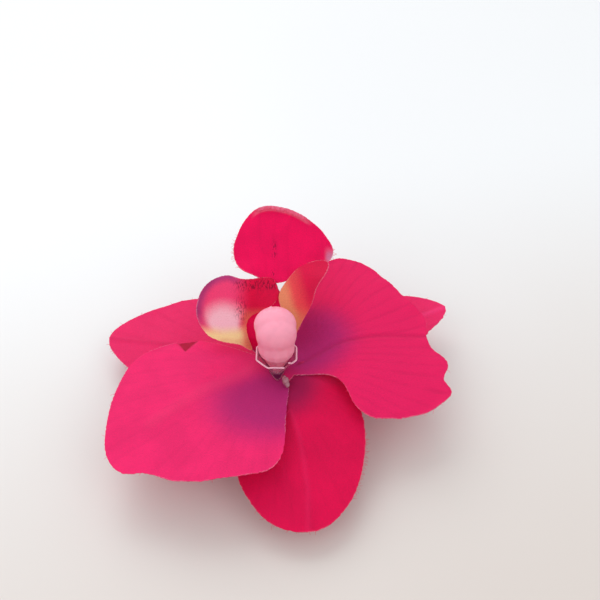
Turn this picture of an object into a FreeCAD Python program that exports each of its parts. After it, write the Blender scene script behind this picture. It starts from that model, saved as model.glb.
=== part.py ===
"""Flower hair clip: a fabric orchid head glued to a sprung steel alligator clip.

Row frame, millimetres: X runs along the clip with the jaw tips at +X, the hinge
pin lies along Y, Z is up.  The origin is on the flat underside of the lower arm,
straight below the axis of the flower.  The flower is drawn in a frame of its own,
with its dorsal sepal towards -Y, and is then turned about Z onto the clip.
"""

import FreeCAD, Part
import math
import os
import Sketcher

from FreeCAD import Placement, Rotation, Vector

# name, value, what it is
SIZES = [
    # clip: two stamped steel arms, a pin and a spring
    ("gauge", 0.7, "sheet steel of both arms"),
    ("arm_width", 8.0, "width of both arms"),
    ("jaw_gap", 4.4, "height of the space between the closed arms"),
    ("tip_reach", 17.0, "origin to the front end of the lower arm"),
    ("tail_reach", 26.0, "origin to the ends of both finger tails"),
    ("pin_setback", 13.0, "origin to the hinge pin"),
    ("tail_bend_setback", 15.4, "origin to the bend of the upper tail"),
    ("tail_rise", 24.0, "slope of the upper tail, degrees"),
    ("bite_angle", 45.0, "slope of the upper jaw's front, degrees"),
    ("bite_setback", 1.1, "jaw contact behind the lower arm's front end"),
    ("bite_gap", 0.03, "clearance between the closed jaws"),
    ("tooth_pitch", 2.0, "spacing of the notches in the jaw's edge"),
    ("tooth_depth", 0.8, "depth of the notches in the jaw's edge"),
    ("pin_diameter", 1.6, "hinge pin"),
    ("pin_play", 0.05, "radial play of the pin in the ears"),
    ("pin_head_diameter", 2.8, "peened pin heads"),
    ("pin_head_height", 0.5, "peened pin heads"),
    ("ear_rim", 0.9, "steel round the pin hole in each ear"),
    ("ear_side_play", 0.1, "side play between the nested ears"),
    ("wire_diameter", 0.8, "spring wire"),
    ("wire_play", 0.05, "spring wire to the arms"),
    ("coil_pitch", 0.86, "spring coil"),
    ("coil_turns", 2.5, "spring coil"),
    ("leg_length", 7.5, "each spring leg beyond the coil"),
    ("leg_bend_radius", 1.5, "bend of the upper spring leg"),
    # stack that carries the flower
    ("felt_diameter", 25.0, "backing disc"),
    ("felt_thickness", 1.0, "backing disc"),
    ("bead_radius", 0.65, "glue fillet beside the upper arm"),
    ("bead_length", 15.0, "glue fillet beside the upper arm"),
    ("glue_diameter", 16.0, "glue pad under the calyx"),
    ("glue_thickness", 1.2, "glue pad under the calyx"),
    ("calyx_height", 5.8, "calyx cup"),
    ("calyx_foot_height", 2.0, "straight foot of the calyx cup"),
    ("calyx_shoulder_height", 4.9, "start of the calyx cup's straight rim"),
    ("calyx_foot_diameter", 7.0, "calyx cup"),
    ("calyx_rim_diameter", 12.4, "calyx cup"),
    ("socket_depth", 4.5, "blind hole for the peg of the column"),
    ("peg_diameter", 2.4, "peg of the column"),
    ("peg_play", 0.1, "radial play of the peg"),
    # cloth
    ("bloom_width", 97.0, "tip to tip over the two side sepals"),
    ("cloth", 0.35, "thickness of the starched cloth"),
    ("ply_gap", 0.1, "space between stacked plies at the hub"),
    ("hub_radius", 4.6, "flat middle of every ply"),
    ("sepal_flat", 1.0, "flat of the sepals beyond the calyx rim"),
    ("sepal_droop", 5.6, "mean fall of the sepals from hub to tip"),
    ("sepal_droop_swing", 3.8, "how far the fall varies round the flower"),
    ("petal_flat", 2.0, "flat of the petals beyond the hub"),
    ("petal_ramp", 14.0, "length over which the petals take up their rise"),
    ("petal_lift", 1.1, "rise of the petals beyond the hub"),
    ("petal_arch", 2.4, "further rise of the petals halfway to their tips"),
    ("petal_curl", 2.0, "fall of the left petal's sides 25 mm off its middle line"),
    ("right_petal_lift", 0.6, "further rise of the right petal"),
    ("right_petal_tilt", 5.7, "tilt of the right petal towards the back, degrees"),
    ("lip_lean", 47.0, "slope of the lip's blade, degrees"),
    ("lip_flat", 3.4, "flat of the lip, up the blade from the hub"),
    ("lip_bend", 5.0, "bend between the lip's flat and its blade"),
    ("lip_sink", 4.5, "depth of the lip's throat behind the hub plane"),
    ("lip_cup", 3.0, "rise of the lip's side lobes above the throat"),
    # column
    ("cup_sides", 8.0, "facets of the clear collar"),
    ("cup_foot_radius", 1.9, "clear collar, corner radius"),
    ("cup_rim_radius", 5.8, "clear collar, corner radius"),
    ("cup_rim_shift", 0.9, "clear collar's rim, off the axis towards the lip"),
    ("cup_height", 5.2, "clear collar"),
    ("cup_wall", 0.45, "clear collar"),
    ("cup_notch_width", 2.2, "split in the collar's rim"),
    ("cup_notch_floor", 3.1, "bottom of the split, above the collar's floor"),
    ("column_lean", 12.0, "tilt of the column towards the lip, degrees"),
    ("column_foot_radius", 1.4, "column body where the lean begins"),
    ("column_waist_radius", 4.0, "column body at the collar's rim"),
    ("column_waist_height", 4.4, "column body at the collar's rim"),
    ("column_neck_radius", 4.9, "column body under the ball"),
    ("column_lift", 0.45, "height over the collar's floor where the lean begins"),
    ("column_reach", 11.6, "start of the lean to the middle of the ball"),
    ("ball_radius", 5.75, "round head of the column"),
    ("dab_radius", 1.45, "glue dab beside the collar"),
    ("dab_flatness", 0.85, "height of the glue dab over its width"),
    ("dab_lift", 0.05, "bottom of the glue dab above the petals' hub"),
    ("dab_reach", 5.4, "axis of the flower to the glue dab"),
]

FLOWER_TURN = -35.0
NOTCH_AZIMUTH = -62.0
DAB_AZIMUTH = -62.0
SHEET_MARGIN = 6.0
GRID_STEP = 4.0
LIP_GRID_STEP = 2.5
DRAWN_WIDTH = 97.0
CURL_REACH = 25.0
RIGHT_CURL_SHARE = 0.6
BACK_SEAM = 85.0
FRONT_SEAM = 278.0
MID_LOBE_BEND = 24.0
MID_LOBE_FALL = 0.08
MID_LOBE_TOP = 30.0
RIM_START = 13.0
RIM_CURL = 0.035

LEFT_PETAL_AZIMUTH = 213.0
RIGHT_PETAL_AZIMUTH = 15.0
LEFT_PETAL_LENGTH = 49.0
RIGHT_PETAL_LENGTH = 46.0


def lobe(azimuth, stations, tip, root=(0, 0), heel=-2):
    """Outline of one die-cut lobe, which runs out from its root in one direction.

    stations holds distance out, width to the left and width to the right; tip holds
    distance out and distance to the left; heel is how far the lobe starts behind its root.
    """
    angle = math.radians(azimuth)
    ring = [(heel, 0)]
    ring += [(out, left) for out, left, right in stations]
    ring += tip
    ring += [(out, -right) for out, left, right in reversed(stations)]
    return [(root[0] + out * math.cos(angle) - left * math.sin(angle),
             root[1] + out * math.sin(angle) + left * math.cos(angle)) for out, left in ring]


# Lobes in the flower frame, for a bloom DRAWN_WIDTH across.
DORSAL_SEPAL = lobe(282, [(5, 17, 9), (15, 19, 14), (27, 17, 15), (38, 11, 11)], [(44, 0)])
LEFT_SEPAL = lobe(159, [(6, 7, 9), (18, 11, 17), (32, 12, 21), (44, 7, 14)], [(52, 0)])
RIGHT_SEPAL = lobe(30, [(7, 6, 6), (20, 12, 12), (35, 13, 10), (48, 9, 5)], [(56, 0)])
LEFT_PETAL = lobe(LEFT_PETAL_AZIMUTH,
                  [(6, 14, 13), (17, 26, 22), (31, 22, 22), (43, 13, 11)],
                  [(LEFT_PETAL_LENGTH, 4)])
RIGHT_PETAL = lobe(RIGHT_PETAL_AZIMUTH,
                   [(6, 14, 3), (14, 26, 8), (17, 29, 20), (28, 34, 24), (40, 19, 19)],
                   [(44, 8), (42, -2), (44, -11)])
# Lobes of the lip in the plane of its blade: X across, Y up the blade from the hub.
LIP_CLAW = lobe(93, [(2, 3, 3), (7, 6, 4), (12, 8, 5), (17, 6, 5)], [(20, 0)])
LIP_LEFT_LOBE = lobe(180, [(2, 1, 7), (7, 11, 8), (12, 9, 9), (17, 7, 7)], [(20, 0)], root=(-1, 16))
LIP_RIGHT_LOBE = lobe(72, [(2, 4, 1), (7, 6, 2), (12, 6, 2), (16, 3, 3)], [(18, -2)], root=(5, 11))
LIP_MID_LOBE = lobe(90, [(2, 4, 5), (7, 11, 13), (13, 12, 13), (18, 9, 9)], [(21, 4), (21, -4)],
                    root=(0, 22))

doc = FreeCAD.newDocument("FlowerHairClip")
sizes = doc.addObject("Spreadsheet::Sheet", "Sizes")
for row, (alias, value, meaning) in enumerate(SIZES, start=1):
    sizes.set("A%d" % row, alias)
    sizes.set("B%d" % row, str(value))
    sizes.set("C%d" % row, meaning)
    sizes.setAlias("B%d" % row, alias)
doc.recompute()


def size(alias):
    """One value from the sheet."""
    return float(getattr(sizes, alias))


# Heights up the middle of the stack, written as sheet expressions and as numbers.
UPPER_UNDERSIDE = "(Sizes.gauge + Sizes.jaw_gap)"
UPPER_TOP = "(2 * Sizes.gauge + Sizes.jaw_gap)"
PIN_HEIGHT = "(Sizes.gauge + Sizes.jaw_gap / 2)"
GLUE_FLOOR = "(" + UPPER_TOP + " + Sizes.felt_thickness)"
CALYX_FLOOR = "(" + GLUE_FLOOR + " + Sizes.glue_thickness)"

pin_height = size("gauge") + size("jaw_gap") / 2
arm_underside = size("gauge") + size("jaw_gap")
arm_top = arm_underside + size("gauge")
calyx_floor = arm_top + size("felt_thickness") + size("glue_thickness")
calyx_top = calyx_floor + size("calyx_height")
sepal_top = calyx_top + size("ply_gap") / 2 + size("cloth")
petal_top = sepal_top + size("ply_gap") + size("cloth")
lip_top = petal_top + size("ply_gap") + size("cloth")
collar_floor = lip_top + size("ply_gap") / 2
column_floor = collar_floor + size("cup_wall")

sub_parts = []


def keep(piece, label):
    """Name a finished sub-part and list it for export."""
    piece.Label = label
    sub_parts.append(piece)
    return piece


# ---------------------------------------------------------------- sketch and body helpers

def new_body(name):
    return doc.addObject("PartDesign::Body", name)


def new_sketch(body, role, name):
    """A sketch on one of the body's own origin planes."""
    sketch = body.newObject("Sketcher::SketchObject", name)
    plane = [item for item in body.Origin.OriginFeatures if item.Role == role][0]
    sketch.AttachmentSupport = [(plane, "")]
    sketch.MapMode = "FlatFace"
    return sketch


def place_point(sketch, geometry, end, across, up):
    """Hold one sketch point at two sheet expressions, measured from the origin."""
    for kind, expression in (("DistanceX", across), ("DistanceY", up)):
        index = sketch.addConstraint(Sketcher.Constraint(kind, -1, 1, geometry, end, 1.0))
        sketch.setExpression("Constraints[%d]" % index, expression)


def polygon(sketch, corners):
    """A closed outline whose corners are pairs of sheet expressions."""
    count = len(corners)
    ring = [Vector(math.cos(math.tau * k / count), math.sin(math.tau * k / count), 0)
            for k in range(count)]
    first = sketch.GeometryCount
    for k in range(count):
        sketch.addGeometry(Part.LineSegment(ring[k], ring[(k + 1) % count]), False)
    for k in range(count):
        after = first + (k + 1) % count
        sketch.addConstraint(Sketcher.Constraint("Coincident", first + k, 2, after, 1))
    for k, (across, up) in enumerate(corners):
        place_point(sketch, first + k, 1, across, up)


def circle(sketch, across, up, diameter):
    """A circle with its middle and diameter held by sheet expressions."""
    index = sketch.addGeometry(Part.Circle(Vector(0, 0, 0), Vector(0, 0, 1), 1.0), False)
    place_point(sketch, index, 3, across, up)
    rule = sketch.addConstraint(Sketcher.Constraint("Diameter", index, 2.0))
    sketch.setExpression("Constraints[%d]" % rule, diameter)


def pad(body, sketch, name, length, symmetric=True):
    feature = body.newObject("PartDesign::Pad", name)
    feature.Profile = sketch
    feature.SideType = "Symmetric" if symmetric else "One side"
    feature.setExpression("Length", length)
    return feature


def pocket(body, sketch, name, length):
    """Cut the sketch to both sides of its plane."""
    feature = body.newObject("PartDesign::Pocket", name)
    feature.Profile = sketch
    feature.SideType = "Symmetric"
    feature.setExpression("Length", length)
    return feature


def ears(body, prefix, root_height, outer_span, inner_span, web_height):
    """Two ears round the pin, cut from one block: outer_span over them, inner_span between."""
    left = "(-Sizes.pin_setback - Sizes.pin_diameter / 2 - Sizes.ear_rim)"
    right = "(-Sizes.pin_setback + Sizes.pin_diameter / 2 + Sizes.ear_rim)"
    block = new_sketch(body, "XZ_Plane", prefix + "EarSketch")
    polygon(block, [(left, PIN_HEIGHT), (right, PIN_HEIGHT), (right, root_height), (left, root_height)])
    pad(body, block, prefix + "EarPad", outer_span)
    crown = new_sketch(body, "XZ_Plane", prefix + "EarCrownSketch")
    circle(crown, "-Sizes.pin_setback", PIN_HEIGHT, "Sizes.pin_diameter + 2 * Sizes.ear_rim")
    pad(body, crown, prefix + "EarCrown", outer_span)
    doc.recompute()
    slot = new_sketch(body, "XZ_Plane", prefix + "SlotSketch")
    far = "(" + PIN_HEIGHT + " * 2 - " + web_height + ")"
    polygon(slot, [(left + " - 1", web_height), (right + " + 1", web_height),
                   (right + " + 1", far), (left + " - 1", far)])
    pocket(body, slot, prefix + "Slot", inner_span)
    bore = new_sketch(body, "XZ_Plane", prefix + "BoreSketch")
    circle(bore, "-Sizes.pin_setback", PIN_HEIGHT, "Sizes.pin_diameter + 2 * Sizes.pin_play")
    pocket(body, bore, prefix + "Bore", "2 * Sizes.arm_width")


def jaw_notches(body, prefix, edge):
    """Three notches across a jaw's front edge, so that the edges between them are teeth."""
    notch = new_sketch(body, "XY_Plane", prefix + "NotchSketch")
    polygon(notch, [(edge + " - Sizes.tooth_depth", "0"),
                    (edge + " + 1", "Sizes.tooth_pitch / 2"),
                    (edge + " + 1", "-Sizes.tooth_pitch / 2")])
    cut = pocket(body, notch, prefix + "Notch", "4 * Sizes.jaw_gap")
    doc.recompute()
    for side, back in (("Left", False), ("Right", True)):
        row = body.newObject("PartDesign::LinearPattern", prefix + "Notches" + side)
        row.Originals = [cut]
        row.Direction = (notch, ["V_Axis"])
        row.Reversed = back
        row.Mode = "Spacing"
        row.setExpression("Offset", "Sizes.tooth_pitch * 1.25")
        row.Occurrences = 2
        body.Tip = row
        doc.recompute()


# ---------------------------------------------------------------- clip

def clip_upper_arm():
    """Flat saddle with the finger tail bent up behind and the toothed jaw bent down in front."""
    body = new_body("ClipUpperArm")
    strip = new_sketch(body, "XZ_Plane", "UpperStrip")
    rise = "(Sizes.tail_reach - Sizes.tail_bend_setback)"
    drop = "(Sizes.jaw_gap - Sizes.bite_gap)"
    foot = "(Sizes.tip_reach - Sizes.bite_setback)"
    jaw_bend = "(" + foot + " - " + drop + " / tan(Sizes.bite_angle * 1 deg))"
    polygon(strip, [
        ("-Sizes.tail_reach", UPPER_UNDERSIDE + " + " + rise + " * tan(Sizes.tail_rise * 1 deg)"),
        ("-Sizes.tail_bend_setback", UPPER_UNDERSIDE),
        (jaw_bend, UPPER_UNDERSIDE),
        (foot, UPPER_UNDERSIDE + " - " + drop),
        (foot + " + Sizes.gauge * sin(Sizes.bite_angle * 1 deg)",
         UPPER_UNDERSIDE + " - " + drop + " + Sizes.gauge * cos(Sizes.bite_angle * 1 deg)"),
        (jaw_bend + " + Sizes.gauge * tan(Sizes.bite_angle / 2 * 1 deg)", UPPER_TOP),
        ("-Sizes.tail_bend_setback + Sizes.gauge * tan(Sizes.tail_rise / 2 * 1 deg)", UPPER_TOP),
        ("-Sizes.tail_reach + Sizes.gauge * sin(Sizes.tail_rise * 1 deg)",
         UPPER_UNDERSIDE + " + " + rise + " * tan(Sizes.tail_rise * 1 deg)"
         " + Sizes.gauge * cos(Sizes.tail_rise * 1 deg)"),
    ])
    pad(body, strip, "UpperPad", "Sizes.arm_width")
    doc.recompute()
    ears(body, "Upper", "(" + UPPER_UNDERSIDE + " + Sizes.gauge / 2)", "Sizes.arm_width",
         "Sizes.arm_width - 2 * Sizes.gauge", UPPER_UNDERSIDE)
    doc.recompute()
    jaw_notches(body, "Upper", "(" + foot + " + Sizes.gauge * sin(Sizes.bite_angle * 1 deg))")
    return keep(body, "clip_upper_arm")


def clip_lower_arm():
    """Flat lower arm whose ears stand up inside the ears of the upper arm."""
    body = new_body("ClipLowerArm")
    strip = new_sketch(body, "XZ_Plane", "LowerStrip")
    polygon(strip, [("-Sizes.tail_reach", "0"), ("Sizes.tip_reach", "0"),
                    ("Sizes.tip_reach", "Sizes.gauge"), ("-Sizes.tail_reach", "Sizes.gauge")])
    pad(body, strip, "LowerPad", "Sizes.arm_width")
    doc.recompute()
    outer = "(Sizes.arm_width - 2 * Sizes.gauge - 2 * Sizes.ear_side_play)"
    ears(body, "Lower", "Sizes.gauge / 2", outer, outer + " - 2 * Sizes.gauge", "Sizes.gauge")
    doc.recompute()
    jaw_notches(body, "Lower", "Sizes.tip_reach")
    return keep(body, "clip_lower_arm")


def hinge_pin():
    """Straight pin through all four ears, peened over at both ends."""
    body = new_body("HingePin")
    shank = new_sketch(body, "XZ_Plane", "ShankSketch")
    circle(shank, "-Sizes.pin_setback", PIN_HEIGHT, "Sizes.pin_diameter")
    pad(body, shank, "Shank", "Sizes.arm_width + 2 * Sizes.pin_head_height")
    doc.recompute()
    heads = new_sketch(body, "XZ_Plane", "HeadSketch")
    circle(heads, "-Sizes.pin_setback", PIN_HEIGHT, "Sizes.pin_head_diameter")
    pad(body, heads, "Heads", "Sizes.arm_width + 2 * Sizes.pin_head_height")
    doc.recompute()
    grip = new_sketch(body, "XZ_Plane", "GripSketch")
    circle(grip, "-Sizes.pin_setback", PIN_HEIGHT, "Sizes.pin_head_diameter + 1")
    circle(grip, "-Sizes.pin_setback", PIN_HEIGHT, "Sizes.pin_diameter")
    pocket(body, grip, "Grip", "Sizes.arm_width + 2 * Sizes.wire_play")
    return keep(body, "hinge_pin")


def torsion_spring():
    """Round wire: a straight lower leg, the coil round the pin, and a bent upper leg."""
    wire = size("wire_diameter")
    radius = size("jaw_gap") / 2 - wire / 2 - size("wire_play")
    pitch = size("coil_pitch")
    turns = size("coil_turns")
    rise = math.radians(size("tail_rise"))
    hub = Vector(-size("pin_setback"), 0, pin_height)
    climb = -pitch / (math.tau * radius)
    start_y = pitch * turns / 2

    helix = Part.makeHelix(pitch, pitch * turns, radius)
    upright = Rotation(Vector(0, 0, -1), Vector(1, 0, 0), Vector(0, -1, 0), "ZXY")
    helix.Placement = Placement(hub + Vector(0, start_y, 0), upright)
    low = Vector(hub.x, start_y, hub.z - radius)
    high = Vector(hub.x, -start_y, hub.z + radius)

    leg = size("leg_length")
    lower_end = low + Vector(-leg, -leg * climb, 0)
    bend = size("leg_bend_radius")
    run = size("tail_bend_setback") - size("pin_setback") - bend * math.tan(rise / 2)
    before = high + Vector(-run, run * climb, 0)
    swept = bend * rise
    middle = before + Vector(-bend * math.sin(rise / 2), swept / 2 * climb, bend * (1 - math.cos(rise / 2)))
    after = before + Vector(-bend * math.sin(rise), swept * climb, bend * (1 - math.cos(rise)))
    last = leg - run - swept
    upper_end = after + Vector(-last * math.cos(rise), last * climb, last * math.sin(rise))

    spine = Part.Wire([Part.makeLine(lower_end, low)] + helix.Edges + [
        Part.makeLine(high, before),
        Part.Arc(before, middle, after).toShape(),
        Part.makeLine(after, upper_end),
    ])
    section = Part.Wire(Part.makeCircle(wire / 2, lower_end, low - lower_end))
    shell = Part.BRepOffsetAPI.MakePipeShell(spine)
    shell.setBiNormalMode(Vector(0, 1, 0))
    shell.add(section)
    shell.build()
    shell.makeSolid()
    piece = doc.addObject("Part::Feature", "TorsionSpring")
    piece.Shape = shell.shape()
    return keep(piece, "torsion_spring")


# ---------------------------------------------------------------- stack under the flower

def felt_disc():
    body = new_body("FeltDisc")
    outline = new_sketch(body, "XY_Plane", "FeltSketch")
    circle(outline, "0", "0", "Sizes.felt_diameter")
    pad(body, outline, "FeltPad", "Sizes.felt_thickness", symmetric=False)
    body.setExpression("Placement.Base.z", UPPER_TOP)
    return keep(body, "felt_disc")


def clip_glue():
    """Two quarter-round fillets of glue under the felt, one along each edge of the arm."""
    beads = []
    for name, side in (("BeadLeft", 1), ("BeadRight", -1)):
        bead = doc.addObject("Part::Cylinder", name)
        bead.Angle = 90
        bead.setExpression("Radius", "Sizes.bead_radius")
        bead.setExpression("Height", "Sizes.bead_length")
        bead.Placement = Placement(Vector(0, 0, 0), Rotation(Vector(0, 1, 0), 90))
        if side < 0:
            bead.Placement = Placement(Vector(0, 0, 0), Rotation(Vector(0, 0, 1), 180) *
                                       Rotation(Vector(0, 1, 0), 90))
        bead.setExpression("Placement.Base.x", "%d * Sizes.bead_length / 2" % -side)
        bead.setExpression("Placement.Base.y", "%d * Sizes.arm_width / 2" % side)
        bead.setExpression("Placement.Base.z", UPPER_TOP)
        beads.append(bead)
    pair = doc.addObject("Part::Compound", "ClipGlue")
    pair.Links = beads
    return keep(pair, "clip_glue")


def glue_pad():
    pad_of_glue = doc.addObject("Part::Cone", "GluePad")
    pad_of_glue.setExpression("Radius1", "Sizes.glue_diameter / 2")
    pad_of_glue.setExpression("Radius2", "Sizes.glue_diameter / 2 - Sizes.glue_thickness")
    pad_of_glue.setExpression("Height", "Sizes.glue_thickness")
    pad_of_glue.setExpression("Placement.Base.z", GLUE_FLOOR)
    return keep(pad_of_glue, "glue_pad")


def calyx_cup():
    """Moulded cup behind the sepals, with a blind socket for the peg of the column."""
    body = new_body("CalyxCup")
    profile = new_sketch(body, "XZ_Plane", "CalyxSketch")
    bore = "(Sizes.peg_diameter / 2 + Sizes.peg_play)"
    polygon(profile, [
        ("0", "0"),
        ("Sizes.calyx_foot_diameter / 2", "0"),
        ("Sizes.calyx_foot_diameter / 2", "Sizes.calyx_foot_height"),
        ("Sizes.calyx_rim_diameter / 2", "Sizes.calyx_shoulder_height"),
        ("Sizes.calyx_rim_diameter / 2", "Sizes.calyx_height"),
        (bore, "Sizes.calyx_height"),
        (bore, "Sizes.calyx_height - Sizes.socket_depth"),
        ("0", "Sizes.calyx_height - Sizes.socket_depth"),
    ])
    spin = body.newObject("PartDesign::Revolution", "CalyxTurn")
    spin.Profile = profile
    spin.ReferenceAxis = (profile, ["V_Axis"])
    spin.Angle = 360
    body.setExpression("Placement.Base.z", CALYX_FLOOR)
    return keep(body, "calyx_cup")


# ---------------------------------------------------------------- cloth

def smooth_step(value):
    value = min(1.0, max(0.0, value))
    return value * value * (3 - 2 * value)


def along(x, y, azimuth):
    """Distance out along a direction, and distance to its left."""
    angle = math.radians(azimuth)
    return (x * math.cos(angle) + y * math.sin(angle),
            y * math.cos(angle) - x * math.sin(angle))


def beyond_hub(x, y):
    return max(0.0, math.hypot(x, y) - size("hub_radius"))


def sepal_rise(x, y):
    """Sepals fall away from the calyx, least towards the back of the flower."""
    flat_radius = size("calyx_rim_diameter") / 2 + size("sepal_flat")
    reach = max(0.0, math.hypot(x, y) - flat_radius) / (0.43 * DRAWN_WIDTH - size("sepal_flat"))
    azimuth = math.atan2(y, x)
    fall = size("sepal_droop") - size("sepal_droop_swing") * math.cos(azimuth - math.radians(66))
    return -fall * reach ** 1.3


def petal_arch(out, length):
    return size("petal_arch") * math.sin(math.pi * min(1.0, max(0.0, out / length)))


def petal_rise(x, y):
    """Petals arch up from the hub; the right one also tilts up towards the back."""
    ramp = smooth_step((beyond_hub(x, y) - size("petal_flat")) / size("petal_ramp"))
    out, across = along(x, y, LEFT_PETAL_AZIMUTH)
    left = petal_arch(out, LEFT_PETAL_LENGTH) - size("petal_curl") * (across / CURL_REACH) ** 2
    out, across = along(x, y, RIGHT_PETAL_AZIMUTH)
    right = (petal_arch(out, RIGHT_PETAL_LENGTH) + size("right_petal_lift")
             + across * math.tan(math.radians(size("right_petal_tilt")))
             - RIGHT_CURL_SHARE * size("petal_curl") * (across / CURL_REACH) ** 2)
    azimuth = math.degrees(math.atan2(y, x)) % 360
    to_left = smooth_step((azimuth - BACK_SEAM) / 50) - smooth_step((azimuth - FRONT_SEAM) / 40)
    return ramp * (size("petal_lift") + left * to_left + right * (1 - to_left))


def lip_rise(across, up):
    """Lip in the frame of its blade: flat at the hub, sunk at the throat, cupped side lobes."""
    flat = -up * math.tan(math.radians(size("lip_lean")))
    sink = -size("lip_sink") - MID_LOBE_FALL * max(0.0, up - MID_LOBE_BEND)
    bent = smooth_step((up - size("lip_flat")) / size("lip_bend"))
    spine = flat * (1 - bent) + sink * bent
    side = (smooth_step((abs(across) - 3) / 8) * smooth_step((up - 2) / 5)
            * smooth_step((MID_LOBE_TOP - up) / 6))
    rim = RIM_CURL * max(0.0, abs(across) - RIM_START) ** 2
    return spine + side * (size("lip_cup") + rim)


def spline_face(outline, scale):
    """Flat face, facing up, inside a smooth closed curve through the outline's points."""
    points = [Vector(x * scale, y * scale, 0) for x, y in outline]
    twice_area = sum(a.x * b.y - a.y * b.x for a, b in zip(points, points[1:] + points[:1]))
    if twice_area < 0:
        points.reverse()
    curve = Part.BSplineCurve()
    curve.interpolate(Points=points, PeriodicFlag=True)
    return Part.Face(Part.Wire(curve.toShape()))


def cloth_ply(outlines, rise, step, hub_radius=0.0):
    """One die-cut ply: the union of the outlines, pressed onto z = rise(x, y), scaled as one."""
    scale = size("bloom_width") / DRAWN_WIDTH
    faces = [spline_face(outline, scale) for outline in outlines]
    if hub_radius:
        faces.append(Part.Face(Part.Wire(Part.makeCircle(hub_radius))))
    blank = faces[0].fuse(faces[1:]).removeSplitter()
    box = blank.BoundBox
    columns = int((box.XLength + 2 * SHEET_MARGIN) / step) + 2
    rows = int((box.YLength + 2 * SHEET_MARGIN) / step) + 2
    grid = []
    for i in range(columns):
        x = box.XMin - SHEET_MARGIN + i * step
        line = []
        for j in range(rows):
            y = box.YMin - SHEET_MARGIN + j * step
            line.append(Vector(x, y, scale * rise(x / scale, y / scale)))
        grid.append(line)
    surface = Part.BSplineSurface()
    surface.interpolate(grid)
    depth = 200.0
    prism = blank.translated(Vector(0, 0, -depth)).extrude(Vector(0, 0, 2 * depth))
    pressed = surface.toShape().common(prism)
    return pressed.Faces[0].extrude(Vector(0, 0, -size("cloth")))


def with_peg_hole(shape):
    """Pierce a ply for the peg of the column."""
    drill = Part.makeCylinder(size("peg_diameter") / 2 + size("peg_play"), 4 * size("calyx_height"),
                              Vector(0, 0, calyx_floor))
    return shape.cut(drill)


def cloth_part(name, label, shape):
    piece = doc.addObject("Part::Feature", name)
    piece.Shape = shape
    piece.Placement = Placement(Vector(0, 0, 0), Rotation(Vector(0, 0, 1), FLOWER_TURN))
    return keep(piece, label)


def sepals():
    ply = cloth_ply([DORSAL_SEPAL, LEFT_SEPAL, RIGHT_SEPAL], sepal_rise, GRID_STEP,
                    size("hub_radius"))
    ply.translate(Vector(0, 0, sepal_top))
    return cloth_part("Sepals", "sepals", with_peg_hole(ply))


def petals():
    ply = cloth_ply([LEFT_PETAL, RIGHT_PETAL], petal_rise, GRID_STEP, size("hub_radius"))
    ply.translate(Vector(0, 0, petal_top))
    return cloth_part("Petals", "petals", with_peg_hole(ply))


def lip():
    ply = cloth_ply([LIP_CLAW, LIP_LEFT_LOBE, LIP_RIGHT_LOBE, LIP_MID_LOBE], lip_rise,
                    LIP_GRID_STEP)
    ply.rotate(Vector(0, 0, 0), Vector(1, 0, 0), size("lip_lean"))
    ply.translate(Vector(0, 0, lip_top))
    return cloth_part("Lip", "lip", with_peg_hole(ply))


# ---------------------------------------------------------------- column

def facet_loft(name, inset, floor, top):
    """Flaring faceted plug between two heights above the collar's floor, inset from its walls."""
    flare = "(Sizes.cup_rim_radius - Sizes.cup_foot_radius) / Sizes.cup_height"
    rings = []
    for ring_name, level in ((name + "Foot", floor), (name + "Rim", top)):
        ring = doc.addObject("Part::RegularPolygon", ring_name)
        ring.setExpression("Polygon", "Sizes.cup_sides")
        ring.setExpression("Circumradius",
                           "Sizes.cup_foot_radius + " + flare + " * (" + level + ") - " + inset)
        ring.setExpression("Placement.Base.y", "Sizes.cup_rim_shift / Sizes.cup_height * (" + level + ")")
        ring.setExpression("Placement.Base.z", level)
        rings.append(ring)
    loft = doc.addObject("Part::Loft", name)
    loft.Sections = rings
    loft.Solid = True
    loft.Ruled = True
    return loft


def column_cup():
    """Clear faceted collar with a hole in its floor and a split in its rim."""
    outside = facet_loft("CupOutside", "0", "0", "Sizes.cup_height")
    inside = facet_loft("CupInside", "Sizes.cup_wall", "Sizes.cup_wall", "Sizes.cup_height + 1")
    drill = doc.addObject("Part::Cylinder", "CupDrill")
    drill.setExpression("Radius", "Sizes.peg_diameter / 2 + Sizes.peg_play")
    drill.setExpression("Height", "2 * Sizes.cup_wall")
    notch = doc.addObject("Part::Box", "CupNotch")
    notch.setExpression("Length", "1.2 * Sizes.cup_rim_radius")
    notch.setExpression("Width", "Sizes.cup_notch_width")
    notch.setExpression("Height", "Sizes.cup_height")
    notch.Placement = Placement(Vector(0, 0, 0), Rotation(Vector(0, 0, 1), NOTCH_AZIMUTH))
    notch.setExpression("Placement.Base.x", "Sizes.cup_notch_width / 2 * sin(%g deg)" % NOTCH_AZIMUTH)
    notch.setExpression("Placement.Base.y", "-Sizes.cup_notch_width / 2 * cos(%g deg)" % NOTCH_AZIMUTH)
    notch.setExpression("Placement.Base.z", "Sizes.cup_notch_floor")
    cutters = doc.addObject("Part::MultiFuse", "CupCutters")
    cutters.Shapes = [inside, drill, notch]
    cup = doc.addObject("Part::Cut", "ColumnCup")
    cup.Base = outside
    cup.Tool = cutters
    cup.Placement = Placement(Vector(0, 0, collar_floor), Rotation(Vector(0, 0, 1), FLOWER_TURN))
    return keep(cup, "column_cup")


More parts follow.
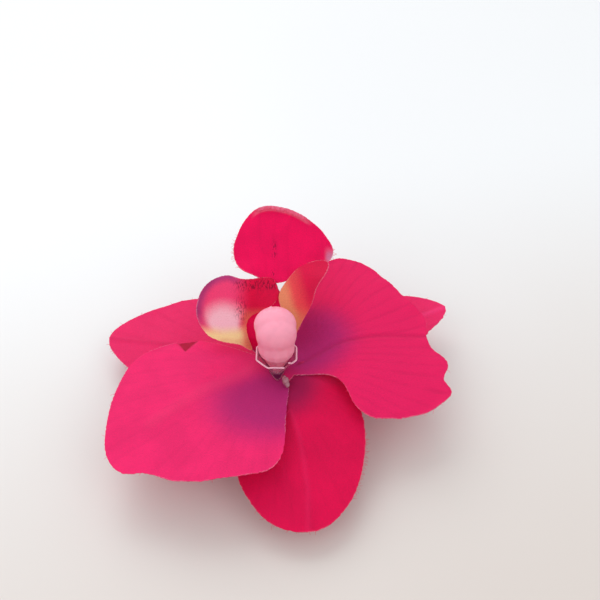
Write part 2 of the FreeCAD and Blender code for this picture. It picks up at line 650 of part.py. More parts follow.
def column():
    """Moulded column: an upright peg, and a leaning body that flares to a waist under the ball."""
    lean = size("column_lean")
    turned = Placement(Vector(0, 0, 0), Rotation(Vector(0, 0, 1), FLOWER_TURN))
    knee = column_floor + size("column_lift")
    leaning = Placement(Vector(0, 0, knee), Rotation(Vector(1, 0, 0), -lean))
    peg = doc.addObject("Part::Cylinder", "Peg")
    peg.setExpression("Radius", "Sizes.peg_diameter / 2")
    peg_length = column_floor - calyx_top + size("socket_depth") - size("ply_gap")
    peg.Height = peg_length + 2 * size("column_lift")
    peg.Placement = Placement(Vector(0, 0, column_floor - peg_length), Rotation())
    foot = doc.addObject("Part::Cone", "ColumnFoot")
    foot.setExpression("Radius1", "Sizes.column_foot_radius")
    foot.setExpression("Radius2", "Sizes.column_waist_radius")
    foot.setExpression("Height", "Sizes.column_waist_height")
    foot.Placement = leaning
    torso = doc.addObject("Part::Cone", "ColumnBody")
    torso.setExpression("Radius1", "Sizes.column_waist_radius")
    torso.setExpression("Radius2", "Sizes.column_neck_radius")
    torso.setExpression("Height", "Sizes.column_reach - Sizes.ball_radius / 2 - Sizes.column_waist_height")
    torso.Placement = leaning * Placement(Vector(0, 0, size("column_waist_height")), Rotation())
    ball = doc.addObject("Part::Sphere", "ColumnBall")
    ball.setExpression("Radius", "Sizes.ball_radius")
    ball.Placement = leaning * Placement(Vector(0, 0, size("column_reach")), Rotation())
    whole = doc.addObject("Part::MultiFuse", "Column")
    whole.Shapes = [peg, foot, torso, ball]
    whole.Placement = turned
    return keep(whole, "column")


def glue_dab():
    """Small dab of glue on the petals, close against the collar."""
    dab = doc.addObject("Part::Ellipsoid", "GlueDab")
    dab.setExpression("Radius1", "Sizes.dab_radius * Sizes.dab_flatness")
    dab.setExpression("Radius2", "Sizes.dab_radius")
    dab.setExpression("Radius3", "Sizes.dab_radius")
    spot = Rotation(Vector(0, 0, 1), FLOWER_TURN + DAB_AZIMUTH).multVec(Vector(size("dab_reach"), 0, 0))
    base = petal_top + size("dab_lift") + size("dab_flatness") * size("dab_radius")
    dab.Placement = Placement(spot + Vector(0, 0, base), Rotation())
    return keep(dab, "glue_dab")


# ---------------------------------------------------------------- build, check, export

for make in (clip_upper_arm, clip_lower_arm, hinge_pin, torsion_spring, clip_glue, felt_disc,
             glue_pad, calyx_cup, sepals, petals, lip, column_cup, column, glue_dab):
    make()
doc.recompute()

for item in doc.Objects:
    if "Invalid" in item.State or "Error" in item.State:
        raise RuntimeError("%s failed: %s" % (item.Label, item.State))
for piece in sub_parts:
    if piece.Shape.isNull() or not piece.Shape.isValid():
        raise RuntimeError("%s has no valid shape" % piece.Label)

os.makedirs("parts", exist_ok=True)
for piece in sub_parts:
    piece.Shape.exportStep("parts/%s.step" % piece.Label)
    box = piece.Shape.optimalBoundingBox(True, False)
    print("%-16s solids %d  volume %9.2f  x %.1f..%.1f  y %.1f..%.1f  z %.1f..%.1f" % (
        piece.Label, len(piece.Shape.Solids), piece.Shape.Volume,
        box.XMin, box.XMax, box.YMin, box.YMax, box.ZMin, box.ZMax))
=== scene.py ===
"""Visual model of the flower hair clip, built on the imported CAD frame.

The flower is drawn in a frame of its own, in millimetres: X to the right, Y away from
the dorsal sepal, Z up.  to_row() turns it onto the clip and into metres.
"""

import math

import bmesh
import bpy
import numpy as np
from mathutils import Matrix, Vector
from mathutils.geometry import delaunay_2d_cdt
from mathutils.kdtree import KDTree


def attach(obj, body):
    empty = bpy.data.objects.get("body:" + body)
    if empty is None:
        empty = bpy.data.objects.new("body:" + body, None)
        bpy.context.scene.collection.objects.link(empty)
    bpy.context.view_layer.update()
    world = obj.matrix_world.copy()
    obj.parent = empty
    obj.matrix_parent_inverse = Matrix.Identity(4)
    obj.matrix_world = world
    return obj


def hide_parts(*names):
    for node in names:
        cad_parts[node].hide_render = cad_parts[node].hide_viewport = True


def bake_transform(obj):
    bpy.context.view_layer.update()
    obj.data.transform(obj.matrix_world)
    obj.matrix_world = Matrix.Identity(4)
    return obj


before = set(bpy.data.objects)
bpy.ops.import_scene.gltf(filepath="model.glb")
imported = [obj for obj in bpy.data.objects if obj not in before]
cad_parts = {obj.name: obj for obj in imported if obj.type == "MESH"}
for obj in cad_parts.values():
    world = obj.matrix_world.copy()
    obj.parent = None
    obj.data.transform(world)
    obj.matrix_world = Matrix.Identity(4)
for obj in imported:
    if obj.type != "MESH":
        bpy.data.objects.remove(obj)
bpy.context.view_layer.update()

MM = 0.001
FLOWER_TURN = math.radians(-35)     # flower frame to clip frame, about Z

# Spacing of the points of a sheet, and thickness of its cloth.
STEP = 0.62
LIP_STEP = 0.36
CLOTH = 0.30
LIP_CLOTH = 0.24

# Levels above the table: the printed sides at the hub, and the floors of what stands there.
SEPAL_TOP = 14.2
PETAL_TOP = 14.65
LIP_TOP = 15.1
COLLAR_FLOOR = 15.15
COLUMN_FLOOR = 15.6
FELT_TOP = 6.78

HUB_RADIUS = 4.6
LIP_LEAN = math.radians(47)         # of the lip's blade, up from the table
FELT_RADIUS = 12.4
FELT_THICKNESS = 0.95

# Directions from the hub in degrees, anticlockwise from X.
DORSAL_SEPAL_AZIMUTH = 282
LEFT_PETAL_AZIMUTH = 213
RIGHT_PETAL_AZIMUTH = 15
PETAL_SEAM_AZIMUTH = 300

# How high the petals arch, how far their sides drop 25 mm out, and how the right one tilts.
PETAL_ARCH = 2.4
PETAL_RAMP = 14.0
LEFT_DROP, RIGHT_DROP = 2.0, 1.2
RIGHT_TILT, RIGHT_LIFT = 0.10, 0.6

BALL_REACH, BALL_RADIUS = 10.6, 5.3
COLUMN_LEAN = math.radians(12)
PIN_CENTRE = (-13.0, 0.0, 2.9)      # in row millimetres

CAMERA_ELEVATION = math.radians(43)
CAMERA_DISTANCE = 218
CAMERA_LENS = 49.5
CAMERA_TARGET = (0.0, 0.0, 15.0)
CAMERA_PAN_RIGHT, CAMERA_PAN_UP = 6.1, 18.5


def lobe(azimuth, stations, tip, root=(0, 0), heel=((-2, 0),)):
    """Outline of one die-cut lobe, which runs out from its root in one direction.

    stations holds distance out, width to the left and width to the right; tip and heel
    hold distance out and distance to the left, from one side of the lobe to the other.
    """
    angle = math.radians(azimuth)
    ring = list(heel)
    ring += [(out, left) for out, left, right in stations]
    ring += tip
    ring += [(out, -right) for out, left, right in reversed(stations)]
    return [(root[0] + out * math.cos(angle) - left * math.sin(angle),
             root[1] + out * math.sin(angle) + left * math.cos(angle)) for out, left in ring]


# Lobes in the flower frame.
DORSAL_SEPAL = lobe(DORSAL_SEPAL_AZIMUTH,
                    [(5, 17, 9), (15, 19, 14), (27, 17, 15), (38, 11, 11)], [(44, 0)])
LEFT_SEPAL = lobe(159, [(6, 7, 9), (18, 11, 17), (32, 12, 21), (44, 7, 14)], [(52, 0)])
RIGHT_SEPAL = lobe(30, [(7, 6, 6), (20, 12, 12), (35, 13, 10), (48, 9, 5)], [(56, 0)])
LEFT_PETAL = lobe(LEFT_PETAL_AZIMUTH,
                  [(6, 14, 13), (17, 26, 22), (31, 22, 22), (40, 16, 14)],
                  [(44, 11), (47, 9), (49, 4), (47, -4)])
RIGHT_PETAL = lobe(RIGHT_PETAL_AZIMUTH,
                   [(6, 14, 3), (14, 26, 8), (17, 29, 20), (28, 34, 24), (39, 20, 21)],
                   [(42, 12), (44, 6), (42, 0), (42, -4), (44, -11), (41, -15), (42, -18)])
# Lobes of the lip in the plane of its blade: X across, Y up the blade from the hub.
LIP_CLAW = lobe(97, [(2, 3, 3), (7, 7, 5), (12, 8, 8), (17, 6, 6), (21, 4, 3)], [(25, 0)],
                heel=[(-2.4, 0)])
LIP_MID_LOBE = lobe(90, [(2, 5, 7), (4, 9, 12), (8, 11, 16), (13, 10, 14), (17, 8, 10)],
                    [(20, 5), (20, -4)], root=(-1, 23), heel=[(0, 0)])
LIP_LEFT_LOBE = lobe(180, [(8, 10, 8), (12, 9, 9), (17, 7, 7)], [(20, 0)],
                     root=(-1, 16), heel=[(0, -8), (-1, -3), (2, 0), (6, 2), (7, 6), (6, 11)])
LIP_RIGHT_LOBE = lobe(72, [(2, 4, 1), (7, 7, 2), (12, 6, 2), (16, 4, 3)], [(19, -3)], root=(5, 11))


# ------------------------------------------------------------------ plane geometry

def smooth(value):
    """0 below zero, 1 above one, and an S curve between."""
    value = np.clip(value, 0.0, 1.0)
    return value * value * (3 - 2 * value)


def bump(value):
    """1 at zero, falling smoothly to 0 at plus or minus one."""
    return 1 - smooth(np.abs(value))


def along(x, y, azimuth):
    """Distance out along a direction in degrees, and distance to its left."""
    angle = math.radians(azimuth)
    return (x * math.cos(angle) + y * math.sin(angle),
            y * math.cos(angle) - x * math.sin(angle))


def off_line(x, y, start, end):
    """How far past a line the points lie, to its left, and how far along it, from 0 to 1."""
    run = np.subtract(end, start)
    length = np.hypot(*run)
    run = run / length
    dx, dy = x - start[0], y - start[1]
    return dy * run[0] - dx * run[1], (dx * run[0] + dy * run[1]) / length


def to_row(points):
    """Flower frame in millimetres to row frame in metres."""
    x, y, z = np.asarray(points, float).T
    c, s = math.cos(FLOWER_TURN), math.sin(FLOWER_TURN)
    return np.column_stack((c * x - s * y, s * x + c * y, z)) * MM


def ripple(x, y, size, seed):
    """Smooth, fixed noise of about that feature size, between -1 and 1."""
    rng = np.random.default_rng(seed)
    total = np.zeros_like(x)
    for _ in range(7):
        angle, phase = rng.uniform(0, math.tau, 2)
        pitch = size * rng.uniform(0.7, 1.6)
        total += np.sin((x * math.cos(angle) + y * math.sin(angle)) * math.tau / pitch + phase)
    return total / 4.0


def even_points(curve, spacing):
    """Evenly spaced points along a closed polyline."""
    closed = np.vstack((curve, curve[:1]))
    lengths = np.hypot(*np.diff(closed, axis=0).T)
    travel = np.concatenate(([0.0], np.cumsum(lengths)))
    count = max(8, int(travel[-1] / spacing))
    at = np.linspace(0, travel[-1], count, endpoint=False)
    return np.column_stack([np.interp(at, travel, closed[:, k]) for k in (0, 1)])


def circle(radius, count):
    """Points evenly round a circle about the origin."""
    return [(radius * math.cos(angle), radius * math.sin(angle))
            for angle in np.arange(count) * math.tau / count]


def unmarked(flat):
    """A blank's points as 3-D positions, for a material to read its place on the cloth."""
    return np.column_stack((flat, np.zeros(len(flat))))


def smooth_ring(points, spacing):
    """Evenly spaced points along the closed cubic spline through the given ones."""
    here = np.array(points, float)
    count = len(here)
    after = np.roll(here, -1, 0)
    chord = np.hypot(*(after - here).T)
    slope = (after - here) / chord[:, None]
    system = np.diag(2 * (chord + np.roll(chord, 1)))
    for k in range(count):
        system[k, (k + 1) % count] += chord[k]
        system[(k + 1) % count, k] += chord[k]
    bend = np.linalg.solve(system, 6 * (slope - np.roll(slope, 1, 0)))
    curve = []
    for k in range(count):
        travel = np.linspace(0, chord[k], 16, endpoint=False)[:, None]
        start, end = bend[k], bend[(k + 1) % count]
        curve.append(here[k] + travel * (slope[k] - chord[k] * (2 * start + end) / 6)
                     + travel ** 2 * start / 2 + travel ** 3 * (end - start) / (6 * chord[k]))
    return even_points(np.vstack(curve), spacing)


def triangulate(points, rings):
    """Triangles inside the rings, which are lists of point numbers."""
    found = delaunay_2d_cdt([Vector(p) for p in points], [], rings, 1, 1e-5)
    return np.array([tuple(v) for v in found[0]]), np.array([list(f) for f in found[2]])


def rim_loop(faces):
    """The outer boundary of a triangulated patch, as point numbers in order."""
    edges = np.vstack((faces[:, [0, 1]], faces[:, [1, 2]], faces[:, [2, 0]]))
    pairs = set(map(tuple, edges))
    follows = {a: b for a, b in pairs if (b, a) not in pairs}
    loops = []
    while follows:
        start = next(iter(follows))
        loop = [start]
        step = follows.pop(start)
        while step != start:
            loop.append(step)
            step = follows.pop(step)
        loops.append(loop)
    return max(loops, key=len)


def inside(points, ring):
    """Which points lie inside a closed ring."""
    x, y = points[:, 0, None], points[:, 1, None]
    ax, ay = ring.T
    bx, by = np.roll(ring, -1, 0).T
    spans = (ay > y) != (by > y)
    with np.errstate(divide="ignore", invalid="ignore"):
        crosses = x < (bx - ax) * (y - ay) / (by - ay) + ax
    return (spans & crosses).sum(1) % 2 == 1


def union_ring(outlines, spacing):
    """Outer boundary of several overlapping smooth outlines."""
    rings = [smooth_ring(outline, spacing) for outline in outlines]
    starts = np.cumsum([0] + [len(ring) for ring in rings])
    loops = [list(range(a, a + len(ring))) for a, ring in zip(starts, rings)]
    points, faces = triangulate(np.vstack(rings), loops)
    return even_points(points[rim_loop(faces)], spacing)


def frayed(ring, depth, seed):
    """A cut edge, pushed in and out by a little uneven amount."""
    rng = np.random.default_rng(seed)
    tangent = np.roll(ring, -1, 0) - np.roll(ring, 1, 0)
    normal = np.column_stack((tangent[:, 1], -tangent[:, 0])) / np.hypot(*tangent.T)[:, None]
    jitter = rng.normal(0, 1, len(ring))
    slow = np.convolve(np.concatenate((jitter[-6:], jitter, jitter[:6])), np.ones(13) / 13, "valid")
    return ring + normal * (depth * (0.45 * jitter + 1.6 * slow))[:, None]


def flat_patch(outlines, spacing, wander, seed):
    """A triangulated flat blank, whose edge wanders a little.  Returns its points and faces."""
    ring = frayed(union_ring(outlines, spacing * 0.8), wander, seed)
    low, high = ring.min(0), ring.max(0)
    rows = np.arange(low[1], high[1], spacing * 0.866)
    grid = np.array([(x + (0.5 * spacing if k % 2 else 0.0), y)
                     for k, y in enumerate(rows) for x in np.arange(low[0], high[0], spacing)])
    grid = grid[inside(grid, ring)]
    distance, _ = nearest_rim(grid, ring)
    grid = grid[distance > 0.55 * spacing]
    points, faces = triangulate(np.vstack((ring, grid)), [list(range(len(ring)))])
    return points, faces


def nearest_rim(points, ring):
    """Distance from each point to the nearest rim point, and the unit direction to it."""
    tree = KDTree(len(ring))
    for k, p in enumerate(ring):
        tree.insert((p[0], p[1], 0.0), k)
    tree.balance()
    hits = [tree.find((p[0], p[1], 0.0)) for p in points]
    distance = np.array([hit[2] for hit in hits])
    way = np.array([hit[0][:2] for hit in hits]) - points
    return distance, way / np.maximum(distance, 1e-6)[:, None]


# ------------------------------------------------------------------ objects

def new_object(name, points, faces, material=None, shade=True):
    """A mesh object from points in row metres."""
    mesh = bpy.data.meshes.new(name)
    mesh.from_pydata([tuple(p) for p in points], [], [tuple(f) for f in faces])
    mesh.validate()
    mesh.update()
    if shade:
        mesh.shade_smooth()
    if material:
        mesh.materials.append(material)
    obj = bpy.data.objects.new(name, mesh)
    bpy.context.scene.collection.objects.link(obj)
    return obj


def add_attribute(obj, name, values):
    """A number or a vector at each point, for the material to read."""
    values = np.asarray(values, np.float32)
    kind = "FLOAT" if values.ndim == 1 else "FLOAT_VECTOR"
    layer = obj.data.attributes.new(name, kind, "POINT")
    layer.data.foreach_set("value" if values.ndim == 1 else "vector", values.ravel())


def point_normals(points, faces):
    """Unit normal at each point, from the faces round it."""
    a, b, c = (points[faces[:, k]] for k in range(3))
    flat = np.cross(b - a, c - a)
    total = np.zeros_like(points)
    for k in range(3):
        np.add.at(total, faces[:, k], flat)
    return total / np.maximum(np.linalg.norm(total, axis=1), 1e-12)[:, None]


def cloth_object(name, points, faces, material, masks, thickness=CLOTH):
    """A closed sheet: points in flower millimetres are its printed side, masks are per point."""
    normals = point_normals(points, faces)
    under = points - normals * thickness
    loop = rim_loop(faces)
    count = len(points)
    rim = [(b, a, a + count, b + count) for a, b in zip(loop, loop[1:] + loop[:1])]
    polygons = [tuple(f) for f in faces] + [tuple(f[::-1] + count) for f in faces] + rim
    obj = new_object(name, to_row(np.vstack((points, under))), polygons, material)
    for key, values in masks.items():
        add_attribute(obj, key, np.concatenate((values, values)))
    add_attribute(obj, "back", np.concatenate((np.zeros(count), np.ones(count))))
    obj.data.set_sharp_from_angle(angle=math.radians(55))
    return obj


def ride(obj, *nodes, slot=None):
    """Put a piece on the flower's body, in place of the CAD nodes named."""
    if nodes:
        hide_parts(*nodes)
    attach(obj, "flower")


# ------------------------------------------------------------------ node helpers

class Tree:
    """A material's node tree, with short ways to add and link nodes."""

    def __init__(self, name):
        self.material = bpy.data.materials.new(name)
        self.material.use_nodes = True
        self.tree = self.material.node_tree
        self.tree.nodes.clear()
        self.output = self.add("ShaderNodeOutputMaterial")

    def add(self, kind, **values):
        node = self.tree.nodes.new(kind)
        for key, value in values.items():
            setattr(node, key, value)
        return node

    def link(self, source, target):
        self.tree.links.new(source, target)

    def feed(self, socket, value):
        if isinstance(value, bpy.types.NodeSocket):
            self.link(value, socket)
        else:
            socket.default_value = value

    def attribute(self, name, vector=False):
        node = self.add("ShaderNodeAttribute", attribute_name=name)
        return node.outputs["Vector" if vector else "Fac"]

    def math(self, operation, a, b=0.0, clamp=False):
        node = self.add("ShaderNodeMath", operation=operation, use_clamp=clamp)
        self.feed(node.inputs[0], a)
        self.feed(node.inputs[1], b)
        return node.outputs[0]

    def remap(self, value, low, high, to_low=0.0, to_high=1.0):
        node = self.add("ShaderNodeMapRange", interpolation_type="SMOOTHSTEP")
        for socket, given in zip(node.inputs, (value, low, high, to_low, to_high)):
            self.feed(socket, given)
        return node.outputs[0]

    def mix(self, share, a, b, blend="MIX"):
        node = self.add("ShaderNodeMix", data_type="RGBA", blend_type=blend)
        self.feed(node.inputs["Factor"], share)
        self.feed(node.inputs["A"], a if isinstance(a, bpy.types.NodeSocket) else (*a, 1.0))
        self.feed(node.inputs["B"], b if isinstance(b, bpy.types.NodeSocket) else (*b, 1.0))
        return node.outputs["Result"]

    def noise(self, where, scale, detail=3.0, roughness=0.5):
        node = self.add("ShaderNodeTexNoise")
        self.feed(node.inputs["Vector"], where)
        node.inputs["Scale"].default_value = scale
        node.inputs["Detail"].default_value = detail
        node.inputs["Roughness"].default_value = roughness
        return node.outputs["Fac"]

    def stretched(self, where, scale):
        node = self.add("ShaderNodeMapping")
        self.feed(node.inputs["Vector"], where)
        node.inputs["Scale"].default_value = scale
        return node.outputs[0]

    def place(self):
        return self.add("ShaderNodeTexCoord").outputs["Object"]

    def bump(self, height, strength, distance):
        node = self.add("ShaderNodeBump")
        node.inputs["Strength"].default_value = strength
        node.inputs["Distance"].default_value = distance
        self.feed(node.inputs["Height"], height)
        return node.outputs[0]

    def principled(self, **values):
        node = self.add("ShaderNodeBsdfPrincipled")
        for key, value in values.items():
            self.feed(node.inputs[key.replace("_", " ")], value)
        return node

    def finish(self, shader):
        self.link(shader.outputs[0], self.output.inputs["Surface"])
        return self.material


def srgb(red, green, blue):
    """A colour on the 0 to 255 display scale, as linear light."""
    scaled = [v / 255 for v in (red, green, blue)]
    return tuple(v / 12.92 if v <= 0.04045 else ((v + 0.055) / 1.055) ** 2.4 for v in scaled)


THREAD_PITCH = 0.42
CLOTH_SEE_THROUGH = 0.34
# pale edge colour: partly pale fray, partly a painted highlight on the cut edge
PALE_THREAD_AND_EDGE_HIGHLIGHT = (0.90, 0.40, 0.55)


def cloth_material(name, face, back, dyes_and_painted_light, speckle=None):
    """Printed cloth, with painted light and shade laid on.  The overlay list holds (mask attribute,
    colour) pairs, print, painted light and painted shade alike, laid over the face colour in turn.
    """
    t = Tree(name)
    cut = t.attribute("cut", vector=True)
    blotch = t.noise(cut, 0.11, 4.0)
    grain = t.noise(cut, 2.6, 3.0, 0.7)
    split = t.add("ShaderNodeSeparateXYZ")
    t.feed(split.inputs[0], cut)
    threads = [t.math("SINE", t.math("MULTIPLY", split.outputs[k], math.tau / THREAD_PITCH))
               for k in (0, 1)]
    crossed = t.math("MULTIPLY", threads[0], threads[1])

    colour = t.mix(t.remap(blotch, 0.35, 0.65), face, [v * 0.91 for v in face])
    wobble = t.math("MULTIPLY", t.math("SUBTRACT", t.noise(cut, 0.7, 4.0), 0.5), 1.1)
    # the overlays are print, painted light and painted shade, each by its own mask
    for mask, overlay_colour in dyes_and_painted_light:
        soft = t.attribute(mask)
        verge = t.math("MULTIPLY", soft, t.math("SUBTRACT", 1.0, soft))
        share = t.math("ADD", soft, t.math("MULTIPLY", wobble, verge), clamp=True)
        colour = t.mix(share, colour, overlay_colour)
    # printed veins, and on the sepals ribs painted dark as shade, darken the colour and press the
    # bump
    vein = t.attribute("vein")
    colour = t.mix(t.math("MULTIPLY", vein, 0.34), colour, [v * 0.42 for v in face])
    if speckle:
        dashes = t.noise(t.stretched(cut, (3.2, 0.8, 1.0)), 1.0, 3.0, 0.65)
        spots = t.math("MULTIPLY", t.remap(dashes, 0.50, 0.58), t.attribute("speckle"))
        colour = t.mix(t.math("MULTIPLY", spots, 0.85), colour, speckle)
    colour = t.mix(t.attribute("back"), colour, back)
    # a pale line along the cut edge: partly pale fray threads, partly a painted highlight where the
    # edge catches light
    rim = t.math("MULTIPLY", t.remap(t.attribute("edge"), 0.26, 0.02), t.remap(blotch, 0.42, 0.58))
    rim = t.math("MULTIPLY", rim, t.remap(grain, 0.34, 0.60))
    colour = t.mix(t.math("MULTIPLY", rim, 0.45), colour, PALE_THREAD_AND_EDGE_HIGHLIGHT)
    tone = t.math("MULTIPLY_ADD", crossed, 0.05)
    t.feed(tone.node.inputs[2], 1.0)
    lit = t.math("MULTIPLY", tone, t.remap(grain, 0.2, 0.8, 0.90, 1.10))
    shade = t.add("ShaderNodeCombineColor")
    for channel in ("Red", "Green", "Blue"):
        t.feed(shade.inputs[channel], lit)
    colour = t.mix(1.0, colour, shade.outputs[0], "MULTIPLY")

    height = t.math("ADD", t.math("MULTIPLY", crossed, 0.30), t.math("MULTIPLY", grain, 0.9))
    height = t.math("SUBTRACT", height, t.math("MULTIPLY", vein, 0.8))
    normal = t.bump(height, 0.4, 0.00014)
    surface = t.principled(Base_Color=colour, Normal=normal,
                           Roughness=t.remap(grain, 0.2, 0.8, 0.62, 0.80), Sheen_Weight=0.07,
                           Sheen_Roughness=0.45, Sheen_Tint=(1.0, 0.5, 0.68, 1.0))
    surface.inputs["Specular IOR Level"].default_value = 0.18
    glow = t.add("ShaderNodeBsdfTranslucent")
    t.feed(glow.inputs["Color"], colour)
    t.feed(glow.inputs["Normal"], normal)
    both = t.add("ShaderNodeMixShader")
    both.inputs[0].default_value = CLOTH_SEE_THROUGH
    t.link(surface.outputs[0], both.inputs[1])
    t.link(glow.outputs[0], both.inputs[2])
    return t.finish(both)


PINK = srgb(255, 46, 124)
# crimson is the sepal cloth painted in shade, as on the dorsal sepal; the lateral sepals get it
# painted lighter as light
CRIMSON = srgb(238, 4, 86)
PURPLE = srgb(190, 40, 122)
BACK_PINK = srgb(236, 96, 140)


# ------------------------------------------------------------------ petals and sepals

def sepal_height(x, y):
    """Sepals fall away from the calyx, least towards the back of the flower."""
    reach = np.maximum(0.0, np.hypot(x, y) - 7.2) / 40.71
    return SEPAL_TOP - (5.6 - 3.8 * np.cos(np.arctan2(y, x) - math.radians(66))) * reach ** 1.3


def petal_height(x, y):
    """Petals arch up from the hub; the right one also tilts up towards the back."""
    ramp = smooth((np.hypot(x, y) - HUB_RADIUS - 2.0) / PETAL_RAMP)
    left_out, left_across = along(x, y, LEFT_PETAL_AZIMUTH)
    right_out, right_across = along(x, y, RIGHT_PETAL_AZIMUTH)
    left = (PETAL_ARCH * np.sin(np.pi * np.clip(left_out / 49, 0, 1))
            - LEFT_DROP * (left_across / 25) ** 2)
    right = (PETAL_ARCH * np.sin(np.pi * np.clip(right_out / 46, 0, 1))
             - RIGHT_DROP * (right_across / 25) ** 2 + RIGHT_TILT * right_across + RIGHT_LIFT)
    azimuth = np.degrees(np.arctan2(y, x)) % 360
    to_left = smooth((azimuth - 85) / 50) - smooth((azimuth - 278) / 40)
    return PETAL_TOP + ramp * (1.1 + left * to_left + right * (1 - to_left))


def fan_veins(x, y, spacing, seed):
    """Fine branching lines that run outwards from the hub, as a strength from 0 to 1."""
    azimuth = np.degrees(np.arctan2(y, x))
    reach = np.hypot(x, y)
    drift = 2.2 * ripple(x, y, 24.0, seed)
    lines = np.cos(np.radians((azimuth + drift) * 360 / spacing))
    strength = 0.6 + 0.4 * ripple(x, y, 9.0, seed + 1)
    return smooth((lines - 0.55) / 0.45) * smooth((reach - 9) / 8) * strength


def rib(x, y, points, width):
    """A line pressed along a run of points, as a strength from 0 to 1."""
    strength = np.zeros_like(x)
    for start, end in zip(points, points[1:]):
        side, share = off_line(x, y, start, end)
        length = math.dist(start, end)
        past = np.maximum(0.0, np.abs(share - 0.5) - 0.5) * length
        strength = np.maximum(strength, bump(np.hypot(side, past) / width))
    return strength


def blob(out, left, centre, radii):
    """A soft oval patch of dye: 1 inside it, falling to 0 at its rim."""
    far = np.hypot((out - centre[0]) / radii[0], (left - centre[1]) / radii[1])
    return 1 - smooth((far - 0.35) / 0.65)


HUB_RING = circle(HUB_RADIUS, 12)


def build_sepals():
    """Back ply: three sepals on one blank, ribbed, with wavy edges."""
    flat, faces = flat_patch([DORSAL_SEPAL, LEFT_SEPAL, RIGHT_SEPAL, HUB_RING], STEP, 0.12, 3)
    x, y = flat.T
    edge, _ = nearest_rim(flat, flat[rim_loop(faces)])
    ribs = (rib(x, y, [(2, -8), (6, -20), (8, -34), (8, -43)], 1.3)
            + rib(x, y, [(-6, 3), (-20, 9), (-34, 14), (-48, 18.5)], 1.3)
            + rib(x, y, [(6, 3), (20, 12), (34, 20.5), (48.5, 28)], 1.3))
    side_ribs = (rib(x, y, [(5, -9), (11, -20), (14.5, -32)], 1.0)
                 + rib(x, y, [(0, -10), (0.5, -22), (2.5, -34)], 1.0))
    veins = fan_veins(x, y, 6.5, 11)
    reach = np.hypot(x, y)
    z = (sepal_height(x, y) + 0.30 * ribs + 0.12 * side_ribs - 0.05 * veins
         + 0.28 * ripple(x, y, 21.0, 5) * smooth((reach - 8) / 12)
         + 0.22 * ripple(x, y, 7.0, 6) * smooth((4 - edge) / 4) * smooth((reach - 12) / 8))
    side = smooth((y + 6) / 8)
    masks = {
        "cut": unmarked(flat),
        "edge": edge,
        # besides the printed veins, the ribs on the left sepal are painted darker: painted shade
        "vein": np.clip(0.3 * veins + 0.5 * ribs * (x < -5), 0, 1),
        # the lateral sepals are painted lighter than the dorsal one as painted light, and the ribs
        # on the right and dorsal sepals lighter as painted highlight
        "light": np.clip(0.6 * side + 0.5 * ribs * side * (x > 0) + 0.12 * ribs * (y < -12), 0, 1),
        "purple": blob(*along(x, y, DORSAL_SEPAL_AZIMUTH), (3, 2), (15, 11)),
    }
    material = cloth_material("sepal_cloth", CRIMSON, BACK_PINK,
                              [("light", srgb(252, 62, 132)), ("purple", srgb(176, 20, 86))])
    obj = cloth_object("sepal_sheet", np.column_stack((flat, z)), faces, material, masks)
    ride(obj, "sepals", slot="sepal_cloth")
    fray("sepal_fray", np.column_stack((flat, z)), faces, material, 61,
         bump((x - 21) / 8) * bump((y + 27) / 12) * 1.3 + 0.10)


def build_petals():
    """Middle ply: two broad petals on one blank, ribbed on the right and ridged on the left; the
    right petal is painted darker as shade, the left one's ridge has a painted highlight and its
    pinch painted shade.
    """
    flat, faces = flat_patch([LEFT_PETAL, RIGHT_PETAL, HUB_RING], STEP, 0.12, 4)
    x, y = flat.T
    edge, _ = nearest_rim(flat, flat[rim_loop(faces)])
    reach = np.hypot(x, y)
    on_right = along(x, y, PETAL_SEAM_AZIMUTH)[1] > 0
    midrib = rib(x, y, [(5, 2.5), (13, 6), (25, 9), (40, 11)], 1.1)
    ridge = rib(x, y, [(-6, 1), (-17, -9), (-30, -20)], 3.0)
    veins = fan_veins(x, y, 5.2, 21) * np.where(on_right, 1.0, 0.5)
    # the left petal's back edge is pinched down in one place, and painted dark there as shade in
    # the fold
    pinch = smooth((3.2 * (1 - (9.8 - y) / 5.0) - np.abs(x + 24.5)) / 0.9 + 0.5)
    z = (petal_height(x, y) - 0.35 * midrib + 0.35 * ridge - 0.10 * veins - 0.5 * pinch
         + 0.45 * ripple(x, y, 26.0, 8) * smooth((reach - 10) / 15)
         + 0.32 * ripple(x, y, 8.0, 9) * smooth((5 - edge) / 5) * smooth((reach - 14) / 8))
    left_purple = (blob(*along(x, y, LEFT_PETAL_AZIMUTH), (8, 8), (20, 17))
                   * smooth((12 + 0.5 * x - y) / 14))
    right_purple = blob(*along(x, y, RIGHT_PETAL_AZIMUTH), (10, 6), (17, 15))
    masks = {
        "cut": unmarked(flat),
        "edge": edge,
        "vein": np.clip(0.8 * midrib + 0.5 * veins, 0, 1),
        # the right petal is painted darker all over: painted shade
        "right_petal_shade": on_right * 0.85,
        # the left petal's ridge is painted lighter: painted highlight
        "light": np.clip(0.35 * ridge * ~on_right, 0, 1),
        "purple": np.where(on_right, right_purple, left_purple) * 0.92,
        # the pinch is painted dark red: painted shade in the fold
        "pinch_shade": np.clip(pinch, 0, 1) * 0.95,
    }
    material = cloth_material("petal_cloth", PINK, BACK_PINK,
                              [("right_petal_shade", srgb(240, 28, 104)), ("purple", PURPLE),
                               ("light", srgb(244, 62, 122)), ("pinch_shade", srgb(184, 6, 58))])
    obj = cloth_object("petal_sheet", np.column_stack((flat, z)), faces, material, masks)
    ride(obj, "petals", slot="petal_cloth")
    fray("petal_fray", np.column_stack((flat, z)), faces, material, 62, np.full(len(x), 0.08))


